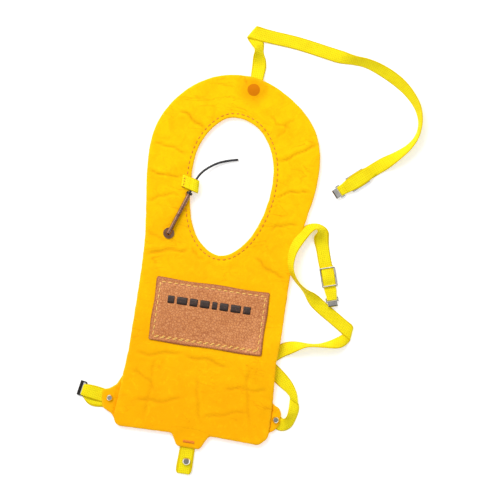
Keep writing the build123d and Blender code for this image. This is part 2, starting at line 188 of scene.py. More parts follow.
# ---------------------------------------------------------------- materials
class Nodes:
    """Shorthand for building a material's node tree."""

    def __init__(self, name):
        self.material = bpy.data.materials.new(name)
        self.material.use_nodes = True
        self.tree = self.material.node_tree
        self.shader = self.tree.nodes["Principled BSDF"]

    def add(self, kind, inputs=None, **settings):
        node = self.tree.nodes.new(kind)
        for key, value in settings.items():
            setattr(node, key, value)
        for key, value in (inputs or {}).items():
            self.put(node.inputs[key], value)
        return node

    def put(self, socket, value):
        if isinstance(value, bpy.types.NodeSocket):
            self.tree.links.new(value, socket)
        else:
            socket.default_value = value

    def place(self):
        return self.add("ShaderNodeTexCoord").outputs["Object"]

    def attribute(self, name, output="Fac"):
        return self.add("ShaderNodeAttribute", attribute_name=name).outputs[output]

    def stretched(self, place, scale, rotation=0.0):
        inputs = {"Vector": place, "Scale": scale, "Rotation": (0, 0, rotation)}
        return self.add("ShaderNodeMapping", inputs).outputs[0]

    def noise(self, place, scale, detail=3.0, roughness=0.55, distortion=0.0):
        inputs = {"Vector": place, "Scale": scale, "Detail": detail, "Roughness": roughness,
                  "Distortion": distortion}
        return self.add("ShaderNodeTexNoise", inputs).outputs["Fac"]

    def cells(self, place, scale, feature="F1"):
        inputs = {"Vector": place, "Scale": scale}
        return self.add("ShaderNodeTexVoronoi", inputs, feature=feature).outputs["Distance"]

    def ramp(self, value, low, high, colours=((0, 0, 0, 1), (1, 1, 1, 1))):
        node = self.add("ShaderNodeValToRGB", {"Fac": value})
        node.color_ramp.elements[0].position = low
        node.color_ramp.elements[1].position = high
        node.color_ramp.elements[0].color = colours[0]
        node.color_ramp.elements[1].color = colours[1]
        return node.outputs["Color"]

    def times(self, a, b):
        return self.math("MULTIPLY", a, b)

    def plus(self, a, b, clamp=False):
        return self.math("ADD", a, b, clamp)

    def minus(self, a, b):
        return self.math("SUBTRACT", a, b)

    def math(self, operation, a, b=0.0, clamp=False):
        node = self.add("ShaderNodeMath", operation=operation, use_clamp=clamp)
        self.put(node.inputs[0], a)
        self.put(node.inputs[1], b)
        return node.outputs[0]

    def mix(self, factor, a, b):
        node = self.add("ShaderNodeMix", data_type="RGBA")
        self.put(node.inputs["Factor"], factor)
        self.put(node.inputs[6], a)
        self.put(node.inputs[7], b)
        return node.outputs[2]

    def finish(self, colour, roughness, height=None, bump=0.5, distance=0.1 * MM, **fixed):
        self.put(self.shader.inputs["Base Color"], colour)
        self.put(self.shader.inputs["Roughness"], roughness)
        for key, value in fixed.items():
            self.put(self.shader.inputs[key.replace("_", " ")], value)
        if height is not None:
            inputs = {"Height": height, "Strength": bump, "Distance": distance}
            normal = self.add("ShaderNodeBump", inputs).outputs[0]
            self.put(self.shader.inputs["Normal"], normal)
        return self.material


def grey(value):
    return (value, value, value, 1)


def srgb(r, g, b):
    """A colour given as 0 to 255 values on screen, as a linear colour."""
    return tuple(((c / 255 + 0.055) / 1.055) ** 2.4 if c > 10 else c / 3294.6 for c in (r, g, b)) + (1.0,)


def felt_material():
    """Waxed yellow felt, more orange towards the hem, finely mottled, with worn lighter rims, and with
    painted shade in its creases and fine crease lines.
    """
    n = Nodes("waxed_felt")
    place = n.place()
    along_y = n.add("ShaderNodeSeparateXYZ", {"Vector": place}).outputs["Y"]
    rise = n.plus(n.times(along_y, 9.5), 0.42)
    cloud = n.times(n.minus(n.noise(place, 62, 4, 0.6, 0.5), 0.5), 1.1)
    base = n.ramp(n.plus(rise, cloud, True), 0.05, 0.95, (srgb(250, 175, 2), srgb(252, 200, 3)))
    blotch = n.ramp(n.noise(place, 210, 5, 0.68, 1.0), 0.42, 0.66)
    base = n.mix(n.times(blotch, 0.42), base, srgb(247, 168, 2))
    pale = n.ramp(n.noise(place, 330, 5, 0.7, 1.4), 0.54, 0.72)
    base = n.mix(n.times(pale, 0.40), base, srgb(255, 212, 10))
    fibre = n.noise(n.stretched(place, (1, 2.6, 1), 0.5), 2400, 4, 0.7, 1.5)
    base = n.mix(n.times(n.ramp(fibre, 0.52, 0.70), 0.35), base, srgb(238, 160, 2))
    # Fine crease lines: painted darker as shade, and cut in as grooves in the height below.
    vein = n.noise(n.stretched(place, (0.5, 1.7, 1), 0.25), 135, 3, 0.55, 0.5)
    vein = n.ramp(n.math("ABSOLUTE", n.minus(vein, 0.5)), 0.0, 0.016)
    vein = n.times(n.minus(1.0, vein), n.ramp(n.noise(place, 95, 2, 0.5), 0.46, 0.62))
    base = n.mix(n.times(vein, 0.55), base, srgb(230, 146, 2))
    # Painted shade: the creases are coloured darker orange.
    crease = n.attribute("crease")
    base = n.mix(n.times(crease, 0.60), base, srgb(206, 128, 2))
    base = n.mix(n.attribute("stain"), base, srgb(224, 128, 2))
    rim = n.times(n.attribute("rim"), n.ramp(n.noise(place, 500, 3, 0.6), 0.35, 0.6))
    base = n.mix(n.times(rim, 0.45), base, srgb(255, 206, 40))
    fine = n.noise(place, 850, 5, 0.62, 0.8)
    wrinkle = n.cells(n.stretched(place, (1, 1.7, 1), 0.3), 230, "DISTANCE_TO_EDGE")
    wrinkle = n.ramp(wrinkle, 0.0, 0.07)
    height = n.plus(n.times(fibre, 0.30), n.times(fine, 0.95))
    height = n.plus(height, n.times(wrinkle, 0.10))
    height = n.minus(height, n.times(vein, 0.35))
    rough = n.ramp(fine, 0.2, 0.8, (grey(0.66), grey(0.9)))
    return n.finish(base, rough, height, 0.55, 0.16 * MM, Specular_IOR_Level=0.06)


def webbing_material():
    """Narrow woven webbing, with painted highlights on the weave's crowns and painted shade in its hollows
    and along its edges. The weave attribute holds the millimetres across and along it.
    """
    n = Nodes("woven_webbing")
    place = n.place()
    weave = n.add("ShaderNodeSeparateXYZ", {"Vector": n.attribute("weave", "Vector")})
    across, along = weave.outputs["X"], weave.outputs["Y"]
    pitch = 2 * math.pi / 0.62
    warp = n.math("SINE", n.times(across, pitch))
    weft = n.math("SINE", n.times(along, pitch))
    grid = n.times(warp, weft)
    ribs = n.math("ABSOLUTE", n.math("SINE", n.times(along, pitch / 2)))
    wales = n.math("ABSOLUTE", n.math("SINE", n.times(across, pitch / 2)))
    weave_hollow_shade = n.times(n.minus(1.0, ribs), n.minus(1.0, wales))
    cloud = n.noise(place, 260, 3, 0.6)
    base = n.mix(n.ramp(cloud, 0.35, 0.7), srgb(250, 232, 14), srgb(242, 216, 8))
    # Painted highlight: the crowns of the weave are coloured lighter.
    base = n.mix(n.ramp(grid, 0.0, 0.9), base, srgb(252, 238, 44))
    # Painted shade: the hollows between the weave's threads are coloured darker.
    base = n.mix(n.ramp(weave_hollow_shade, 0.30, 0.75), base, srgb(204, 162, 0))
    # Painted shade: the webbing is coloured darker along both edges.
    edge = n.minus(n.math("ABSOLUTE", across), 1.68)
    base = n.mix(n.ramp(edge, 0.0, 0.16), base, srgb(230, 200, 6))
    fuzz = n.noise(place, 3800, 3, 0.6)
    height = n.plus(n.times(grid, 0.5), n.times(fuzz, 0.35))
    height = n.plus(height, n.times(n.plus(ribs, wales), 0.35))
    return n.finish(base, 0.72, height, 0.9, 0.12 * MM, Specular_IOR_Level=0.08)


def leather_material():
    """Pebbled brown leather with darker rims."""
    n = Nodes("brown_leather")
    place = n.place()
    pebble = n.cells(n.stretched(place, (1, 1.25, 1), 0.4), 1500)
    vein = n.ramp(n.cells(place, 1250, "DISTANCE_TO_EDGE"), 0.0, 0.16)
    cloud = n.noise(place, 110, 4, 0.6, 0.5)
    speck = n.noise(place, 1700, 3, 0.6)
    base = n.mix(n.ramp(cloud, 0.3, 0.7), srgb(198, 122, 64), srgb(216, 142, 82))
    base = n.mix(n.ramp(speck, 0.5, 0.72), base, srgb(228, 160, 104))
    base = n.mix(n.minus(1.0, vein), base, srgb(172, 96, 46))
    rim = n.attribute("rim")
    base = n.mix(n.times(rim, 0.8), base, srgb(146, 74, 40))
    height = n.plus(n.times(vein, 0.7), n.times(pebble, -0.5))
    rough = n.ramp(speck, 0.3, 0.7, (grey(0.38), grey(0.56)))
    return n.finish(base, rough, height, 0.6, 0.08 * MM, Specular_IOR_Level=0.45)


def thread_material(name, light, dark):
    """Twisted thread with painted light and shade along its plies, lighter on their crowns and darker in the
    grooves. The weave attribute holds the place round and along it.
    """
    n = Nodes(name)
    along = n.add("ShaderNodeSeparateXYZ", {"Vector": n.attribute("weave", "Vector")})
    turn = n.plus(n.times(along.outputs["Y"], 15.0), n.times(along.outputs["X"], 2.0))
    ply = n.math("SINE", turn)
    # Painted light and shade along the twist, as well as the bump.
    base = n.mix(n.ramp(ply, -0.6, 0.8), dark, light)
    fuzz = n.noise(n.place(), 5200, 2, 0.5)
    height = n.plus(ply, n.times(fuzz, 0.5))
    return n.finish(base, 0.6, height, 0.5, 0.04 * MM, Sheen_Weight=0.15)


def metal_material(name, light, dark, low_rough, high_rough, scratch=0.25):
    """Metal with uneven tarnish and fine scratches along one direction."""
    n = Nodes(name)
    place = n.place()
    wear = n.noise(place, 900, 4, 0.6)
    lines = n.noise(n.stretched(place, (1, 12, 1), 0.7), 1600, 3, 0.5)
    base = n.mix(n.ramp(wear, 0.35, 0.7), light, dark)
    rough = n.ramp(lines, 0.3, 0.75, (grey(low_rough), grey(high_rough)))
    return n.finish(base, rough, lines, scratch, 0.015 * MM, Metallic=1.0)


def rubber_material():
    n = Nodes("black_hose_rubber")
    place = n.place()
    dust = n.noise(place, 1300, 4, 0.6)
    base = n.mix(n.ramp(dust, 0.5, 0.8), srgb(26, 26, 30), srgb(58, 58, 66))
    rough = n.ramp(dust, 0.3, 0.8, (grey(0.28), grey(0.5)))
    return n.finish(base, rough, dust, 0.15, 0.03 * MM)


def ink_material():
    n = Nodes("printed_ink")
    place = n.place()
    worn = n.noise(place, 1500, 4, 0.7)
    base = n.mix(n.ramp(worn, 0.56, 0.7), srgb(52, 36, 30), srgb(112, 70, 48))
    return n.finish(base, 0.6, worn, 0.25, 0.03 * MM)


FELT_CLOTH = felt_material()
WEBBING = webbing_material()
LEATHER = leather_material()
ORANGE_THREAD = thread_material("orange_thread", srgb(234, 142, 8), srgb(212, 116, 4))
YELLOW_THREAD = thread_material("yellow_thread", srgb(255, 222, 130), srgb(236, 176, 80))
RED_THREAD = thread_material("red_orange_thread", srgb(250, 152, 6), srgb(226, 118, 2))
STEEL = metal_material("nickel_plate", (0.86, 0.85, 0.82, 1), (0.66, 0.65, 0.63, 1), 0.06, 0.14, 0.06)
DARK_STEEL = metal_material("dark_steel", (0.07, 0.065, 0.06, 1), (0.035, 0.03, 0.028, 1), 0.28, 0.45)
BRONZE = metal_material("dark_bronze", (0.40, 0.22, 0.15, 1), (0.24, 0.12, 0.07, 1), 0.07, 0.14, 0.03)
RUBBER = rubber_material()
INK = ink_material()


# ---------------------------------------------------------------- outlines, read from the frame
def top_loops(node):
    """The closed edge loops of a node's upper face, as points in the XY plane, longest first."""
    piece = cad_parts[node]
    mesh, world = piece.data, piece.matrix_world
    places = [tuple(round(c, 7) for c in world @ v.co) for v in mesh.vertices]
    level = max(p[2] for p in places) - 1e-5
    edges = {}
    for polygon in mesh.polygons:
        ring = [places[i] for i in polygon.vertices]
        if min(p[2] for p in ring) > level:
            for a, b in zip(ring, ring[1:] + ring[:1]):
                if (b, a) in edges:
                    del edges[(b, a)]
                else:
                    edges[(a, b)] = True
    after = {a: b for a, b in edges}
    loops = []
    while after:
        start = next(iter(after))
        loop, here = [start], after.pop(start)
        while here != start and here in after:
            loop.append(here)
            here = after.pop(here)
        loops.append(np.array(loop)[:, :2])
    return sorted(loops, key=len, reverse=True)


def open_at_fold(loop, level):
    """Cuts a loop where it runs along the fold line and returns its two open stretches."""
    on_fold = np.abs(loop[:, 1] - level) < 1e-5
    breaks = [k for k in range(len(loop)) if on_fold[k] and on_fold[(k + 1) % len(loop)]]
    first, second = breaks[0], breaks[-1]
    inner = loop[first + 1:second + 1]
    outer = np.vstack([loop[second + 1:], loop[:first + 1]])
    return inner, outer


def join_loops(bib_node, collar_node):
    """The outer edge and the neck edge of a felt layer, as if it were cut from one piece."""
    stretches = open_at_fold(top_loops(bib_node)[0], FOLD_LOW)
    collar = open_at_fold(top_loops(collar_node)[0], FOLD_HIGH)
    outer = max(stretches, key=lambda s: np.ptp(s[:, 0])), max(collar, key=lambda s: np.ptp(s[:, 0]))
    neck = min(stretches, key=lambda s: np.ptp(s[:, 0])), min(collar, key=lambda s: np.ptp(s[:, 0]))
    joined = []
    for low, high in (outer, neck):
        if np.linalg.norm(low[-1] - high[0]) > np.linalg.norm(low[-1] - high[-1]):
            high = high[::-1]
        joined.append(np.vstack([low, high]))
    return joined


# ---------------------------------------------------------------- the height of the felt
# Creases of the front layer: two ends in millimetres, then depth and width in millimetres.
CREASES = [
    (-26.3, 51.8, -13.9, 51.1, 0.16, 0.7), (-26.4, 42.8, -14.0, 43.4, 0.30, 0.6),
    (13.8, 52.3, 26.6, 58.8, 0.22, 0.8), (14.8, 41.2, 27.4, 44.4, 0.26, 0.6),
    (-19.6, 63.6, -9.4, 59.5, 0.20, 0.9), (9.4, 66.0, 16.8, 63.0, 0.14, 0.8),
    (12.5, 59.6, 18.0, 66.5, 0.12, 0.8), (-22.6, 17.0, -9.5, 20.4, 0.20, 1.0),
    (-9.5, 20.4, -4.6, 17.8, 0.16, 0.8), (-23.6, 24.5, -14.8, 21.6, 0.12, 0.8),
    (-24.8, 34.6, -15.0, 37.2, 0.14, 0.9), (15.0, 30.0, 23.6, 34.0, 0.16, 0.9),
    (11.0, 20.4, 22.6, 15.4, 0.16, 0.9), (-22.0, -14.6, -6.0, -13.2, 0.14, 1.0),
    (-6.0, -13.2, 9.0, -15.4, 0.16, 1.0), (8.0, -22.6, 22.0, -20.2, 0.14, 0.9),
    (-20.0, -29.8, -4.0, -27.4, 0.14, 1.0), (2.0, -31.6, 17.0, -29.0, 0.12, 0.9),
    (-22.4, -19.8, -12.5, -25.6, 0.12, 0.9), (-2.0, -19.4, 3.0, -34.6, 0.10, 1.0),
    (14.8, -13.6, 17.6, -33.0, 0.10, 1.0), (-14.4, -15.4, -16.6, -35.2, 0.09, 1.0),
    (-1.6, 77.6, 1.4, 75.4, 0.34, 0.7),
]
HIDDEN_STRAP = np.array([(25.0, -16.0), (21.0, -13.6), (18.6, -11.4), (20.6, -9.4), (25.0, -7.0)])
# Where a metal piece or webbing needs level felt: place and radius in millimetres.
FLAT_SPOTS = [(-16.7, 24.4, 3.2), (*LEFT_RIVET, 2.6), (25.9, -29.6, 2.6), (-13.6, 41.0, 3.4),
              (*ANCHOR, 3.2), (3.9, 77.0, 3.0), (-0.6, -41.6, 3.4)]


FELT_SPACING, FELT_GRID = 0.42 * MM, 0.66 * MM


def crease_depth(points):
    """The depth of the creases at points, in metres, and the painted shade that darkens them, from 0 to 1."""
    depth = np.zeros(len(points))
    dark = np.zeros(len(points))
    xy = points[:, :2] / MM
    for k, (x0, y0, x1, y1, deep, wide) in enumerate(CREASES):
        a, b = np.array((x0, y0)), np.array((x1, y1))
        run = b - a
        t = np.clip(((xy - a) @ run) / (run @ run), 0, 1)
        sway = 0.55 * np.sin(5.2 * t + 1.7 * k) + 0.25 * np.sin(13 * t + k)
        side = unit(np.array([-run[1], run[0]]))
        away = np.linalg.norm(xy - (a + t[:, None] * run + (sway[:, None] * side)), axis=1)
        fade = smoothstep(np.minimum(t, 1 - t) * 5 + 0.15)
        depth -= deep * fade * np.exp(-(away / (0.55 * wide)) ** 2)
        depth += 0.55 * deep * fade * np.exp(-((away - 1.3 * wide) / wide) ** 2)
        # Painted shade: how much darker the felt is coloured along each crease.
        dark = np.maximum(dark, fade * np.exp(-(away / (0.45 * wide)) ** 2) * min(1, deep / 0.2))
    return depth * MM, dark


def felt_height(points):
    """How far the felt stands above its flat place, and how freely it waves there, from 0 to 1."""
    xy = points[:, :2] / MM
    line = resample(HIDDEN_STRAP, 0.3, closed=False)
    lift = 0.85 * smoothstep(1 - (distance_to(xy, line) - 2.0) / 7.0)
    slow = 0.34 * (0.5 + 0.5 * perlin(xy, 21, 3.1)) + 0.20 * (0.5 + 0.5 * perlin(xy, 9.5, 7.7))
    ridge = 0.16 * (1 - np.abs(perlin(xy, 6.3, 11.3)) * 2.2).clip(0, 1) ** 2
    ridge *= smoothstep(0.5 + 1.4 * perlin(xy, 17, 5.0))
    wave = slow + ridge
    root = smoothstep(1 - (np.abs(xy[:, 0] - 3.85) - 2.2) / 2.4) * smoothstep((xy[:, 1] - 71.0) / 3.5)
    lift = np.maximum(lift, 0.46 * root)
    calm = np.ones(len(points))
    for x, y, reach in FLAT_SPOTS:
        calm = np.minimum(calm, smoothstep((np.hypot(xy[:, 0] - x, xy[:, 1] - y) - reach) / 3.5))
    on_patch = np.maximum(np.abs(xy[:, 0]) - PATCH_X, np.abs(xy[:, 1]) - PATCH_Y)
    calm = np.minimum(calm, 0.25 + 0.75 * smoothstep(on_patch / 2.5))
    return (lift + wave * calm) * MM, calm


def flat_cut(loops, edge_points, dense):
    """A flat triangle mesh between two loops: its places, its faces, and the vertex at each input point."""
    lows, highs = edge_points.min(0), edge_points.max(0)
    rows = np.arange(lows[1], highs[1], FELT_GRID * 0.866)
    grid = np.array([(x + (k % 2) * FELT_GRID / 2, y) for k, y in enumerate(rows)
                     for x in np.arange(lows[0], highs[0], FELT_GRID)])
    grid = grid[inside(grid, loops[0]) & ~inside(grid, loops[1])]
    grid = grid[distance_to(grid, dense) > 0.80 * MM]
    rings = [edge_points]
    for inset in (0.16 * MM, 0.42 * MM):
        for loop, felt_is_inside in zip(loops, (True, False)):
            ring = loop - side_normals(loop) * inset
            hits = inside(ring[:40], loop).sum()
            if hits < 20 if felt_is_inside else hits > 20:
                ring = loop + side_normals(loop) * inset
            rings.append(ring[distance_to(ring, dense) > 0.9 * inset])
    flat = np.vstack(rings + [grid])
    edges, start = [], 0
    for loop in loops:
        count = len(loop)
        edges += [(start + k, start + (k + 1) % count) for k in range(count)]
        start += count
    verts, _, faces, origin, _, _ = delaunay_2d_cdt([Vector(p / MM) for p in flat], edges, [], 0, 1e-6, True)
    verts = np.array([tuple(v) for v in verts]) * MM
    middles = np.array([verts[list(f)].mean(0) for f in faces])
    keep = inside(middles, loops[0]) & ~inside(middles, loops[1])
    index_of = {o: k for k, ids in enumerate(origin) for o in ids}
    return verts, [f for f, k in zip(faces, keep) if k], index_of


def felt_sheet(name, outer, neck, low, high, is_front):
    """A felt layer between two heights: a dense flat cut, lifted, creased, with soft rims."""
    loops = [soften(resample(loop, FELT_SPACING), 2) for loop in (outer, neck)]
    for loop in loops:
        fray = 0.10 * MM * perlin(loop, 2.6 * MM, 1.0) + 0.05 * MM * perlin(loop, 0.9 * MM, 4.0)
        loop += side_normals(loop) * fray[:, None]
    edge_points = np.vstack(loops)
    dense = np.vstack([resample(loop, 0.12 * MM) for loop in loops])
    verts, faces, index_of = flat_cut(loops, edge_points, dense)
    away = distance_to(verts, dense)
    lift, calm = felt_height(verts)
    crease, dark = crease_depth(verts)
    round_off = 0.30 * (high - low) * np.clip(1 - away / (0.42 * MM), 0, 1) ** 2
    top, bottom = high + lift - round_off, low + lift + round_off
    if is_front:
        seam = np.exp(-(distance_to(verts, NECK_STITCH_LINE) / (0.45 * MM)) ** 2)
        top = top + crease * calm - seam * 0.16 * MM
    else:
        near_ears = np.abs(verts[:, 1] / MM + 29) < 9
        left = smoothstep((-verts[:, 0] / MM - 25.1) / 1.4) * near_ears
        right = smoothstep((verts[:, 0] / MM - 24.4) / 0.9) * near_ears
        top, bottom = top + 0.5 * MM * (left + right), bottom + 0.5 * MM * (left + right)
    count = len(verts)
    points = [np.column_stack([verts, top]), np.column_stack([verts, bottom])]
    all_faces = faces + [tuple(count + k for k in reversed(f)) for f in faces]
    first, start = 2 * count, 0
    for loop in loops:
        ids = [index_of[start + k] for k in range(len(loop))]
        ring = verts[ids]
        area = 0.5 * np.sum(ring[:, 0] * np.roll(ring[:, 1], -1) - np.roll(ring[:, 0], -1) * ring[:, 1])
        is_outer = start == 0
        outward = side_normals(ring) * (1 if (area > 0) == is_outer else -1)
        points.append(np.column_stack([ring + outward * 0.09 * MM, (top[ids] + bottom[ids]) / 2]))
        for k in range(len(ids)):
            j = (k + 1) % len(ids)
            upper = (ids[k], ids[j], first + j, first + k)
            lower = (first + k, first + j, count + ids[j], count + ids[k])
            all_faces += [f[::-1] if (area > 0) == is_outer else f for f in (upper, lower)]
        first += len(ids)
        start += len(loop)
    points = np.vstack(points)
    rim = np.clip(1 - away / (0.5 * MM), 0, 1)
    extra = len(points) - 2 * count
    none = np.zeros(count)
    spot = np.hypot(verts[:, 0] - ANCHOR[0] * MM, verts[:, 1] - ANCHOR[1] * MM)
    stain = 0.45 * smoothstep(1 - (spot - 1.6 * MM) / (5.2 * MM)) if is_front else none
    attributes = {
        "rim": np.concatenate([rim, rim, np.ones(extra)]),
        # The crease attribute carries the painted shade in the front face's creases.
        "crease": np.concatenate([dark if is_front else none, none, np.zeros(extra)]),
        "stain": np.concatenate([stain, none, np.zeros(extra)]),
    }
    piece = mesh_piece(name, points, all_faces, FELT_CLOTH, True, attributes)
    return piece


def surface(points, offset=0.0):
    """Points of the XY plane, placed on the front face of the vest."""
    points = np.asarray(points, float)
    lift, calm = felt_height(points)
    crease, _ = crease_depth(points)
    return np.column_stack([points[:, :2], TOP + lift + crease * calm + offset])


LEFT_EAR = [(-23.4, -21.0), (-24.9, -23.4), (-26.0, -25.9), (-28.0, -27.4), (-30.0, -28.1), (-29.9, -31.0),
            (-29.4, -33.6), (-26.2, -35.2), (-25.0, -37.0)]
RIGHT_EAR = [(24.3, -24.8), (24.9, -25.2), (26.0, -25.5), (26.9, -26.4), (27.3, -28.0), (27.3, -30.4),
             (26.7, -32.0), (25.4, -33.4), (24.4, -33.9)]
HEM_Y = -37.6


def with_ear(loop, ear):
    """The outline with an ear in place of the stretch of the edge that it grows from."""
    ear = resample(np.array(ear), 0.25, closed=False) * MM
    low, high = ear[:, 1].min(), ear[:, 1].max()
    stretch = (np.sign(loop[:, 0]) == np.sign(ear[0, 0])) & (loop[:, 1] > low) & (loop[:, 1] < high)
    first = int(np.argmax(stretch & ~np.roll(stretch, 1)))
    loop = np.roll(loop, -first, 0)
    kept = loop[int(stretch.sum()):]
    if np.linalg.norm(kept[-1] - ear[0]) > np.linalg.norm(kept[-1] - ear[-1]):
        ear = ear[::-1]
    return np.vstack([kept, ear])


front_outer, front_neck = join_loops("front_bib", "front_collar")
back_outer = resample(front_outer, 0.25 * MM)
back_outer[:, 1] = np.maximum(back_outer[:, 1], HEM_Y * MM)
back_outer = with_ear(with_ear(back_outer, LEFT_EAR), RIGHT_EAR)


def neck_stitch_line():
    """The seam round the neck opening, 1.25 mm outside its edge."""
    loop = resample(front_neck, 0.3 * MM)
    middle = loop.mean(0)
    normal = side_normals(loop)
    normal *= np.sign(((loop - middle) * normal).sum(1, keepdims=True))
    return resample(loop + normal * 1.25 * MM, 0.1 * MM)


NECK_STITCH_LINE = neck_stitch_line()


# ---------------------------------------------------------------- camera, light and floor
def sky_gradient(tree, place, towards, span, dark, bright):
    """A colour that brightens from dark to bright towards a direction."""
    slope = tree.nodes.new("ShaderNodeVectorMath")
    slope.operation = "DOT_PRODUCT"
    slope.inputs[1].default_value = towards
    tree.links.new(place, slope.inputs[0])
    ramp = tree.nodes.new("ShaderNodeValToRGB")
    tree.links.new(slope.outputs["Value"], ramp.inputs["Fac"])
    for element, position, colour in zip(ramp.color_ramp.elements, span, (dark, bright)):
        element.position, element.color = position, colour
    return ramp.outputs["Color"]


def set_stage():
    scene = bpy.context.scene
    scene.view_settings.view_transform = "Standard"
    camera = bpy.data.cameras.new("camera")
    camera.sensor_width = 36.0
    camera.lens = 157.5
    eye = bpy.data.objects.new("camera", camera)
    eye.location = mm(9.76, 22.9, 700.0)
    eye.rotation_euler = (0, 0, math.radians(8.5))
    scene.collection.objects.link(eye)
    scene.camera = eye
    world = bpy.data.worlds.new("soft_box")
    scene.world = world
    world.use_nodes = True
    tree, back = world.node_tree, world.node_tree.nodes["Background"]
    place = tree.nodes.new("ShaderNodeTexCoord").outputs["Generated"]
    # A pale soft room, which reflections see with a brighter side and a darker one.
    pale = sky_gradient(tree, place, (-0.38, 0.48, 0.79), (0.36, 0.92), grey(0.42), (0.90, 0.895, 0.885, 1))
    steep = sky_gradient(tree, place, (-0.50, 0.66, 0.56), (0.42, 0.84), (0.03, 0.028, 0.025, 1),
                         (1.35, 1.33, 1.28, 1))
    both = tree.nodes.new("ShaderNodeMix")
    both.data_type = "RGBA"
    tree.links.new(tree.nodes.new("ShaderNodeLightPath").outputs["Is Glossy Ray"], both.inputs["Factor"])
    tree.links.new(pale, both.inputs["A"])
    tree.links.new(steep, both.inputs["B"])
    tree.links.new(both.outputs["Result"], back.inputs["Color"])
    back.inputs["Strength"].default_value = 1.0
    lights = (("key", (-260, 330, 420), 330, 2.15), ("fill", (330, -120, 480), 420, 0.5))
    for name, place, size, power in lights:
        light = bpy.data.lights.new(name, "AREA")
        light.size = size * MM
        light.energy = power
        lamp = bpy.data.objects.new(name, light)
        lamp.location = mm(*place)
        aim = Vector(mm(5, 15, 0)) - lamp.location
        lamp.rotation_euler = aim.to_track_quat("-Z", "Y").to_euler()
        scene.collection.objects.link(lamp)
    n = Nodes("white_table")
    haze = n.noise(n.place(), 9, 2)
    paint = n.mix(haze, grey(0.93), grey(0.90))
    n.finish(paint, 0.9, Emission_Color=grey(1), Emission_Strength=0.30)
    corners = [(-3, -3, 0), (3, -3, 0), (3, 3, 0), (-3, 3, 0)]
    floor = mesh_piece("table_top", corners, [(0, 1, 2, 3)], n.material, False)
    floor.location.z = -0.01 * MM


set_stage()


# ---------------------------------------------------------------- webbing
RIBBON_SIDES = 13                         # points across one face of the webbing


def ribbon(name, route, thickness):
    """Flat webbing along a smooth NURBS line. A route point is x, y, z in millimetres, then the azimuth
    and the rise in degrees of the way its one half of the width points, then the width's share."""
    centre = [mm(*p[:3]) for p in route]
    edge = []
    for x, y, z, azimuth, rise, share in route:
        az, el = math.radians(azimuth), math.radians(rise)
        way = np.array([math.cos(el) * math.cos(az), math.cos(el) * math.sin(az), math.sin(el)])
        edge.append(tuple(np.array(mm(x, y, z)) + way * STRAP_HALF * share))
    line, side = nurbs_points(centre), nurbs_points(edge)
    half = side - line
    shares = nurbs_points([(p[5], 0, 0) for p in route])[:, :1]
    half = unit(half) * STRAP_HALF * shares
    tangent = unit(np.gradient(line, axis=0))
    normal = unit(np.cross(tangent, half))
    lowest = line[:, 2] - np.abs(half[:, 2]) - np.abs(normal[:, 2]) * thickness / 2
    line = line + np.maximum(0.0, 0.01 * MM - lowest)[:, None] * np.array((0.0, 0.0, 1.0))
    along = arc_length(line)
    verts, weave = [], []
    across = np.linspace(-1, 1, RIBBON_SIDES)
    round_edge = 1 - 0.55 * np.abs(across) ** 10
    for sign in (1, -1):
        for t, keep in zip(across, round_edge):
            verts.append(line + half * t + normal * sign * thickness / 2 * keep)
            weave.append(np.column_stack([t * STRAP_HALF / MM * shares[:, 0], along / MM, 0 * along]))
    rows, count = len(verts), len(line)
    order = list(range(RIBBON_SIDES)) + list(range(rows - 1, RIBBON_SIDES - 1, -1))
    verts, weave = np.stack(verts)[order], np.stack(weave)[order]
    faces = []
    for r in range(rows):
        q = (r + 1) % rows
        faces += [(r * count + k, q * count + k, q * count + k + 1, r * count + k + 1)
                  for k in range(count - 1)]
    faces.append(tuple(r * count for r in reversed(range(rows))))
    faces.append(tuple(r * count + count - 1 for r in range(rows)))
    piece = mesh_piece(name, verts.reshape(-1, 3), faces, WEBBING, True, {"weave": weave.reshape(-1, 3)})
    return piece, [tuple(p) for p in line]


TOP_STRAP_ROUTE = [
    (3.85, 75.4, 1.04, 188, 0, 1), (3.85, 77.2, 1.04, 188, 0, 1), (3.9, 78.6, .86, 186, 0, 1),
    (4.05, 81.2, .34, 180, 0, 1.10), (3.75, 83.8, .5, 176, 14, 1.04), (3.35, 86.1, 1.75, 172, 56, 1),
    (2.7, 88.1, .95, 196, 26, 1), (1.5, 90.0, .26, 206, 0, 1.05), (0.15, 92.0, .24, 237.6, 0, 1.16),
    (0.15, 92.0, .80, 237.6, 0, 1.16), (3.4, 91.5, .72, 266, 0, 1.03), (8.0, 91.1, .44, 268, 0, 1),
    (14.0, 90.7, .24, 266, 2, 1), (20.0, 89.8, .24, 261, 0, 1), (27.3, 88.5, .28, 260, 6, 1),
    (30.6, 88.0, 1.1, 262, -31, 1), (33.7, 87.7, 1.74, 266, -52, 1), (37.7, 87.5, 1.74, 262, -50, 1),
    (41.6, 86.4, 1.48, 251, -40, 1), (45.7, 84.7, 1.27, 245, -34, 1), (49.6, 82.5, 1.42, 236, -39, 1),
    (53.0, 79.7, 1.78, 225, -52, 1), (55.9, 76.3, 1.95, 211, -62, 1), (57.4, 72.6, 2.15, 192, -74, 1),
    (57.7, 69.3, 2.23, 175, -79, 1), (57.1, 66.2, 2.17, 163, -75, 1), (55.4, 63.1, 2.05, 145, -66, 1),
    (52.6, 60.2, 1.75, 133, -52, 1), (50.0, 58.0, 1.30, 130, -34, 1), (48.0, 56.4, .50, 130, -10, 1),
    (46.2, 54.95, .24, 131, 0, .99), (44.3, 53.35, .24, 131, 0, .98), (42.4, 51.7, .24, 131, 0, .97),
    (40.2, 49.8, .22, 131, 0, .90), (37.76, 47.71, .22, 131, 0, .80),
]
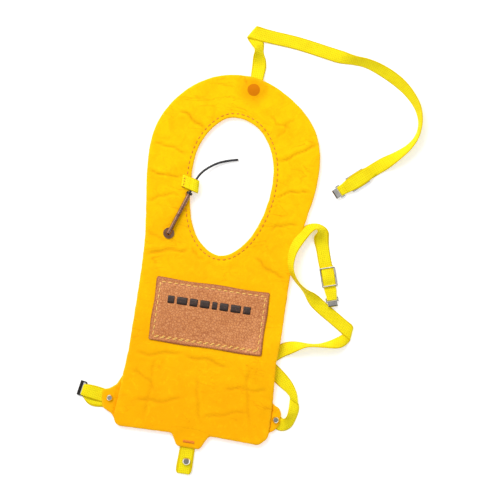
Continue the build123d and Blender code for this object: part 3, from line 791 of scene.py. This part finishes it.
WAIST_STRAP_ROUTE = [
    (23.9, -28.6, .24, 74, 0, 1), (26.0, -29.9, .24, 74, 0, 1.1), (28.0, -31.1, .26, 84, 6, .98),
    (30.0, -30.2, .7, 128, 26, .96), (30.9, -27.6, 1.2, 168, 44, 1), (31.2, -25.0, .60, 168, 20, .86),
    (31.0, -23.2, .26, 156, 0, .84), (30.95, -22.95, .30, 152, 0, .82), (30.8, -22.6, .86, 150, 0, .80),
    (30.5, -22.0, .90, 154, 0, .84), (29.6, -20.3, .62, 176, 0, .90), (27.8, -18.2, .34, 208, 0, .98),
    (25.9, -16.6, .24, 222, 0, 1.06), (23.0, -14.2, .24, 236, 0, 1), (19.9, -12.3, .24, 268, 0, 1.1),
    (19.9, -11.9, .72, 270, 0, 1.1), (22.6, -9.0, .55, 296, 0, 1), (24.8, -7.2, .34, 290, 0, 1.04),
    (27.4, -5.9, .9, 290, 26, 1), (29.8, -5.0, 1.7, 287, 56, 1), (32.0, -4.5, 2.1, 284, 76, 1),
    (34.4, -4.25, 2.2, 281, 83, 1), (36.6, -3.9, 2.1, 281, 76, 1), (38.6, -3.4, 2.0, 283, 66, 1),
    (40.8, -2.75, 1.6, 284, 48, 1), (43.2, -1.6, .8, 280, 22, 1), (45.6, .5, .26, 264, 0, 1.14),
    (45.8, 1.4, .74, 264, 0, 1.14), (43.0, 3.1, .62, 240, 0, 1), (39.4, 5.4, .36, 239, 0, 1),
    (36.2, 7.3, .26, 237, -2, 1), (33.4, 9.2, .30, 234, -8, 1), (31.2, 11.0, 1.3, 232, -40, 1),
    (29.6, 12.2, 2.0, 232, -68, 1), (27.8, 13.6, 2.2, 230, -80, 1), (26.1, 15.0, 2.5, 226, -80, 1),
    (24.5, 16.9, 3.0, 212, -72, .92), (23.35, 19.0, 3.05, 198, -63, .92), (22.95, 22.0, 2.9, 182, -52, .96),
    (23.25, 25.1, 2.7, 165, -42, 1), (24.5, 28.2, 2.4, 154, -30, 1), (26.0, 30.8, 2.1, 146, -34, 1),
    (27.3, 32.3, 2.05, 133, -46, 1), (28.8, 33.3, 2.0, 112, -60, 1), (30.2, 33.5, 2.1, 82, -64, 1),
    (31.4, 32.7, 1.7, 45, -52, 1.15), (31.6, 31.2, .9, 24, -22, 1.3), (31.9, 29.2, .36, 19, -5, 1.14),
    (32.6, 27.0, .24, 18, 0, 1), (33.6, 23.8, .24, 18, 0, 1), (34.7, 20.7, .22, 18, 0, 1),
    (35.84, 17.6, .22, 17.4, 0, .98), (37.12, 13.98, .22, 17.4, 0, .86),
]


# Webbing along a strap's heading: place from a bar towards the hook, height, share of the width.
ROUND_HOOK_BAR = [(-1.25, .14, .76), (-.7, .14, .76), (.62, .10, .76), (.66, .86, .77), (-.3, .88, .78),
                  (-1.5, .84, .84), (-2.4, .80, .92), (-3.0, .62, .94)]
OVER_ALL_BARS = [(-6.2, .40, .80), (-5.0, .62, .88), (-3.9, 1.10, 1.00), (-2.6, 1.28, 1.10),
                 (-.6, 1.30, 1.17), (1.4, 1.30, 1.12), (2.9, 1.26, 1.00), (3.9, 1.20, .90),
                 (4.7, 1.12, .82)]
OVER_MIDDLE_BAR = [(-3.5, .56, .98), (-2.4, .62, .98), (-1.5, 1.0, .98), (-.6, 1.22, .98), (.6, 1.22, .98),
                   (1.5, 1.0, .98), (2.4, .62, .98), (3.4, .56, .98)]


def straight_webbing(name, bar, heading, back, ways, thickness, body):
    """Webbing over bars: the doubled end round a hook's bar, or what a slider draws up and carries along."""
    route = [(*local(bar, heading, u - back), z, heading + 90, 0, share) for u, z, share in ways]
    piece, _ = ribbon(name, route, thickness)
    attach(piece, body)
    return piece


top_strap, top_line = ribbon("top_strap_webbing", TOP_STRAP_ROUTE, WEB)
waist_strap, waist_line = ribbon("waist_strap_webbing", WAIST_STRAP_ROUTE, WEB)
top_loop = straight_webbing("top_strap_end_webbing", TOP_BAR, TOP_HEADING, 0, ROUND_HOOK_BAR, 0.22 * MM,
                            "top_end")
waist_loop = straight_webbing("waist_strap_end_webbing", WAIST_BAR, WAIST_HEADING, 0, ROUND_HOOK_BAR,
                              0.22 * MM, "waist_end")
top_wrap = straight_webbing("top_slider_webbing", TOP_BAR, TOP_HEADING, 6.2, OVER_ALL_BARS, 0.26 * MM,
                            "top_slider")
waist_wrap = straight_webbing("waist_slider_webbing", WAIST_BAR, WAIST_HEADING, 6.9, OVER_MIDDLE_BAR,
                              0.26 * MM, "waist_slider")
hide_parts("top_strap_end")
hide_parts("waist_strap_end")
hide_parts("top_strap", "top_strap_root")
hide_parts("waist_strap", "waist_strap_root")

HOSE_ROUTE = [(-16.27, 25.63, 2.8), (-13.76, 32.91, 2.8), (-11.1, 40.5, 2.7), (-10.0, 44.2, 2.2),
              (-7.0, 47.3, 1.3), (-2.9, 49.8, 0.7), (1.8, 50.9, 0.5)]
hose = nurbs_curve("mouth_hose_rubber", [mm(*p) for p in HOSE_ROUTE], 16)
hose.data.bevel_depth = 0.375 * MM
hose.data.bevel_resolution = 5
hose.data.use_fill_caps = True
hose.data.materials.append(RUBBER)
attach(hose, "mouth_tube")
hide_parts("mouth_hose")


# ---------------------------------------------------------------- felt
front_felt = felt_sheet("front_felt", front_outer, front_neck, FELT + 0.02 * MM, TOP, True)
back_felt = felt_sheet("back_felt", back_outer, front_neck, 0.0, FELT - 0.02 * MM, False)
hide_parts("front_bib", "front_collar")
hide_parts("back_bib", "back_collar")


# ---------------------------------------------------------------- thread
def stitches(name, marks, radius, material, sink=0.35):
    """A row of thread stitches. A mark is a place, a direction and a length; each stitch dips at its ends."""
    verts, faces, weave = [], [], []
    sides, rings = 8, 7
    for start, (place, way, length) in enumerate(marks):
        place, way = np.array(place), unit(np.array(way))
        side = unit(np.cross((0, 0, 1), way))
        up = np.cross(way, side)
        base = len(verts)
        for k in range(rings):
            t = k / (rings - 1) * 2 - 1
            middle = place + way * t * length / 2 + up * radius * (0.75 - (1 + sink) * t ** 4)
            thick = radius * (1 - 0.7 * abs(t) ** 5)
            for j in range(sides):
                turn = 2 * math.pi * j / sides
                verts.append(middle + (side * math.cos(turn) + up * math.sin(turn)) * thick)
                weave.append((j / sides * math.pi, (t + 1) * length / 2 / MM, 0))
        for k in range(rings - 1):
            for j in range(sides):
                i, q = base + k * sides, (j + 1) % sides
                faces.append((i + j, i + q, i + sides + q, i + sides + j))
        faces.append(tuple(base + j for j in reversed(range(sides))))
        faces.append(tuple(base + (rings - 1) * sides + j for j in range(sides)))
    piece = mesh_piece(name, verts, faces, material, True, {"weave": weave})
    return piece


def stitches_on(line, pitch, length, offset):
    """Marks for stitches along a closed line on the front face."""
    spots = resample(line, pitch)
    marks = []
    for k, spot in enumerate(spots):
        ahead = spots[(k + 1) % len(spots)]
        middle, way = (spot + ahead) / 2, ahead - spot
        z = surface(middle[None])[0, 2] + offset
        wobble = 0.07 * math.sin(k * 2.4)
        marks.append(((*middle, z), (way[0] - wobble * way[1], way[1] + wobble * way[0], 0),
                      length * (1 + 0.12 * math.sin(k * 1.7))))
    return marks


neck_marks = stitches_on(NECK_STITCH_LINE, 1.7 * MM, 1.12 * MM, -0.10 * MM)
neck_marks = [m for m in neck_marks                # none under the tube's loop
              if not (m[0][0] < -11 * MM and 39 * MM < m[0][1] < 43.2 * MM)]
neck_row = stitches("neck_stitches", neck_marks, 0.13 * MM, ORANGE_THREAD)
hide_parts("neck_stitching_lower", "neck_stitching_upper")
bar_marks = []
for k in range(19):
    x = -2.3 + 3.4 * k / 18
    spot = np.array([x * MM, (-40.55 + 0.08 * math.sin(3.1 * k)) * MM])
    z = surface(spot[None])[0, 2]
    bar_marks.append(((*spot, z), (0.16 * (-1) ** k, 1, 0), (0.95 + 0.18 * math.sin(2.2 * k)) * MM))
bartack = stitches("hem_bar_stitches", bar_marks, 0.13 * MM, RED_THREAD, 0.5)
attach(bartack, "vest")
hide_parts("centre_bartack")
loop_marks = [((-14.25 * MM, y * MM, 2.02 * MM), (0.1, 1, 0), 0.62 * MM) for y in (39.6, 40.55, 41.5, 42.4)]
loop_thread = stitches("loop_stitches", loop_marks, 0.12 * MM, ORANGE_THREAD)
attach(loop_thread, "vest")
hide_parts("loop_stitching")


# ---------------------------------------------------------------- leather patch
PATCH_THICK = 0.5 * MM
STITCH_X, STITCH_Y = 16.9, 8.85


def patch_top(points):
    """The height of the patch's upper face: it lies on the felt, sinks at its stitches and swells between."""
    xy = points[:, :2] / MM
    base = surface(points)[:, 2] + PATCH_THICK
    edge = np.minimum(PATCH_X - np.abs(xy[:, 0]), PATCH_Y - np.abs(xy[:, 1]))
    seam = np.minimum(np.abs(np.abs(xy[:, 0]) - STITCH_X) + 9 * (np.abs(xy[:, 1]) > STITCH_Y),
                      np.abs(np.abs(xy[:, 1]) - STITCH_Y) + 9 * (np.abs(xy[:, 0]) > STITCH_X))
    sink = 0.16 * np.exp(-(seam / 0.5) ** 2)
    swell = 0.10 * perlin(xy, 8.0, 21.0) + 0.04 * perlin(xy, 2.6, 4.0)
    rim = 0.22 * np.clip(1 - edge / 0.5, 0, 1) ** 2
    return base + (swell * smoothstep(edge / 2) - sink - rim) * MM


def leather_patch():
    """The leather, a grid with rounded corners and slightly uneven edges."""
    nx, ny = 110, 64
    xs, ys = np.linspace(-1, 1, nx), np.linspace(-1, 1, ny)
    gx, gy = np.meshgrid(xs, ys, indexing="ij")
    x, y = gx * PATCH_X, gy * PATCH_Y
    over_x, over_y = np.abs(x) - (PATCH_X - PATCH_CORNER), np.abs(y) - (PATCH_Y - PATCH_CORNER)
    reach = np.hypot(np.maximum(over_x, 0), np.maximum(over_y, 0))
    pull = np.where(reach > PATCH_CORNER, PATCH_CORNER / np.maximum(reach, 1e-9), 1)
    x = np.where(over_x > 0, np.sign(x) * (PATCH_X - PATCH_CORNER + over_x * pull), x)
    y = np.where(over_y > 0, np.sign(y) * (PATCH_Y - PATCH_CORNER + over_y * pull), y)
    flat = np.column_stack([x.ravel(), y.ravel()]) * MM
    flat[:, 0] += 0.12 * MM * np.sin(flat[:, 1] / MM * 0.5) * np.abs(gx.ravel()) ** 8
    flat[:, 1] += 0.15 * MM * np.sin(flat[:, 0] / MM * 0.33 + 1) * np.abs(gy.ravel()) ** 8
    top = patch_top(flat)
    bottom = surface(flat)[:, 2] - 0.02 * MM
    verts = np.vstack([np.column_stack([flat, top]), np.column_stack([flat, bottom])])
    count = nx * ny
    faces = []
    for i in range(nx - 1):
        for j in range(ny - 1):
            a, b, c, d = i * ny + j, (i + 1) * ny + j, (i + 1) * ny + j + 1, i * ny + j + 1
            faces += [(a, b, c, d), (count + d, count + c, count + b, count + a)]
    ring = [i * ny for i in range(nx)] + [(nx - 1) * ny + j for j in range(1, ny)]
    ring += [i * ny + ny - 1 for i in range(nx - 2, -1, -1)] + [j for j in range(ny - 2, 0, -1)]
    faces += [(count + a, count + b, b, a) for a, b in zip(ring, ring[1:] + ring[:1])]
    edge = np.minimum(PATCH_X - np.abs(flat[:, 0]) / MM, PATCH_Y - np.abs(flat[:, 1]) / MM)
    rim = np.clip(1 - edge / 0.7, 0, 1)
    rim = np.concatenate([rim, np.ones(count)])
    piece = mesh_piece("patch_leather", verts, faces, LEATHER, True, {"rim": rim})
    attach(piece, "vest")
    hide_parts("leather_patch")


def patch_seam():
    """The stitches round the patch, with a second, closer row along its lower edge."""
    def on_patch(x, y):
        spot = np.array((x, y)) * MM
        return (*spot, patch_top(spot[None])[0] - 0.02 * MM)

    marks = []
    for level, size, other in ((True, STITCH_X, STITCH_Y), (False, STITCH_Y, STITCH_X)):
        count = int(round(2 * size / 1.95))
        for sign in (-1, 1):
            for k in range(count):
                t = (2 * (k + 0.5) / count - 1) * size
                place = on_patch(t, sign * other) if level else on_patch(sign * other, t)
                way = (1, 0.05 * math.sin(k), 0) if level else (0.05 * math.sin(k), 1, 0)
                marks.append((place, way, (1.45 + 0.12 * math.sin(1.9 * k)) * MM))
                if level and sign == -1:
                    marks.append((on_patch(t + 0.5, sign * other + 0.42), way, 1.2 * MM))
    piece = stitches("patch_stitches", marks, 0.19 * MM, YELLOW_THREAD)
    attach(piece, "vest")
    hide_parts("patch_stitching")


def ink_blocks():
    """Plain blocks of worn ink, a little above the leather, that follow its face."""
    verts, faces = [], []
    x, steps = -13.9, 8
    for k, width in enumerate((2.2, 3.4, 2.6, 3.1, 1.7, 2.8, 3.3, 2.4)):
        for i in range(steps):
            for j in range(4):
                u, v = i / (steps - 1), j / 3
                trim = 0.12 * (i in (0, steps - 1)) * (j in (0, 3))
                spot = np.array((x + u * width, 2.35 + v * 2.5 + trim * (1 if j == 0 else -1))) * MM
                verts.append((*spot, patch_top(spot[None])[0] + 0.012 * MM))
        base = k * steps * 4
        for i in range(steps - 1):
            for j in range(3):
                a = base + i * 4 + j
                faces.append((a, a + 4, a + 5, a + 1))
        x += width + 0.75
    piece = mesh_piece("patch_ink", verts, faces, INK, True)
    thick = piece.modifiers.new("thickness", "SOLIDIFY")
    thick.thickness = 0.02 * MM
    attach(piece, "vest")


leather_patch()
patch_seam()
ink_blocks()


# ---------------------------------------------------------------- tabs, loop and anchor spot
# Place along the tab and across it, height, the turn of its width and the width's share.
left_ways = [(-1.4, .5, .22, -3, 1.18), (1.0, 1.0, .22, -4, 1.24), (3.2, 1.75, .22, -5, 1.22),
             (5.2, 1.95, .21, -3, 1.16), (7.0, 1.55, .19, 4, 1.06), (8.5, .55, .18, 6, .92),
             (9.05, .30, .18, 0, .86), (9.1, .30, .84, 0, .86), (7.6, .15, .92, 2, 1.0),
             (6.0, .05, .88, 3, 1.07), (4.2, .0, .66, 3, 1.08), (2.9, .0, .44, 2, 1.08),
             (2.0, .0, .34, 2, 1.06), (.8, .0, .34, 2, 1.06)]
left_route = [(*local(LEFT_RIVET, LEFT_HEADING, u, v), z, LEFT_HEADING + 90 + fan, 0, share)
              for u, v, z, fan, share in left_ways]
left_tab, _ = ribbon("left_tab_webbing", left_route, 0.32 * MM)
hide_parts("left_tab_root", "left_tab")
# Place along Y, height and the width's share.
centre_ways = [(-38.6, .46, 1.15), (-40.8, .46, 1.15), (-43.2, .30, 1.16), (-46.0, .18, 1.20),
               (-49.2, .16, 1.24), (-50.5, .16, 1.16), (-50.9, .18, .94), (-50.92, .74, .94),
               (-50.4, .80, 1.16), (-49.0, .82, 1.24), (-46.6, .80, 1.20), (-44.6, .68, 1.16),
               (-42.4, .62, 1.15), (-40.6, .62, 1.15)]
centre_route = [(-.70 + .018 * (y + 43), y, z, 180, 0, share) for y, z, share in centre_ways]
centre_tab, _ = ribbon("centre_tab_webbing", centre_route, 0.30 * MM)
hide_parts("centre_tab_root", "centre_tab")
# Place along X and height: over the tube and back under it.
loop_ways = [(-15.0, 1.80), (-13.6, 1.86), (-12.5, 2.0), (-12.1, 3.0), (-11.7, 3.62), (-10.6, 3.66),
             (-9.6, 3.1), (-9.45, 2.1), (-9.9, 1.35), (-11.0, 1.25), (-12.4, 1.30)]
loop_route = [(x, 41.0 - .28 * (x + 12), z, 90 + 2 * (x > -12), 0, .98) for x, z in loop_ways]
tube_loop, _ = ribbon("tube_loop_webbing", loop_route, 0.34 * MM)
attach(tube_loop, "vest")
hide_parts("tube_loop")


def stain_material():
    """Felt with a blot that fades outwards."""
    n = Nodes("stained_felt")
    place = n.place()
    fade = n.attribute("fade")
    blot = n.plus(fade, n.math("MULTIPLY_ADD", n.noise(place, 900, 4, 0.6), 0.5))
    base = n.mix(n.ramp(blot, 0.25, 1.0), srgb(250, 184, 3), srgb(214, 122, 3))
    fibres = n.noise(place, 1900, 5, 0.7, 1.2)
    return n.finish(base, 0.75, fibres, 0.6, 0.12 * MM, Specular_IOR_Level=0.06)


def anchor_spot():
    """The stained round of felt over the collar strap's end."""
    x, y = ANCHOR
    verts, fade = [(x * MM, y * MM, 0)], [1.0]
    rings, sides = 9, 40
    for r in range(1, rings + 1):
        for k in range(sides):
            a = 2 * math.pi * k / sides
            reach = ANCHOR_RADIUS * r / rings * (1 + 0.05 * math.sin(3 * a) * r / rings)
            verts.append(((x + reach * math.cos(a)) * MM, (y + reach * math.sin(a)) * MM, 0))
            fade.append(1 - (r / rings) ** 2)
    verts = np.array(verts)
    away = np.hypot(verts[:, 0] - x * MM, verts[:, 1] - y * MM) / (ANCHOR_RADIUS * MM)
    verts[:, 2] = surface(verts)[:, 2] + (0.15 * (1 - away ** 2) - 0.03) * MM
    faces = [(0, 1 + k, 1 + (k + 1) % sides) for k in range(sides)]
    for r in range(rings - 1):
        for k in range(sides):
            a, b = 1 + r * sides + k, 1 + r * sides + (k + 1) % sides
            faces.append((a, a + sides, b + sides, b))
    piece = mesh_piece("anchor_spot", verts, faces, stain_material(), True, {"fade": fade})
    thick = piece.modifiers.new("thickness", "SOLIDIFY")
    thick.thickness = 0.12 * MM
    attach(piece, "collar")
    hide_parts("strap_anchor_disc")


anchor_spot()


# ---------------------------------------------------------------- what crosses a joint
for piece in (front_felt, back_felt, neck_row):
    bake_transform(piece)
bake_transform(top_strap)
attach(waist_strap, "vest")
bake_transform(left_tab)
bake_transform(centre_tab)


# ---------------------------------------------------------------- metal nodes of the frame
METALS = {"steel": STEEL, "dark_steel": DARK_STEEL, "bronze": BRONZE}
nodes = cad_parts
for node in nodes.values():
    for slot in node.material_slots:
        kind = slot.material.name.split(".")[0] if slot.material else ""
        slot.material = METALS.get(kind, slot.material)
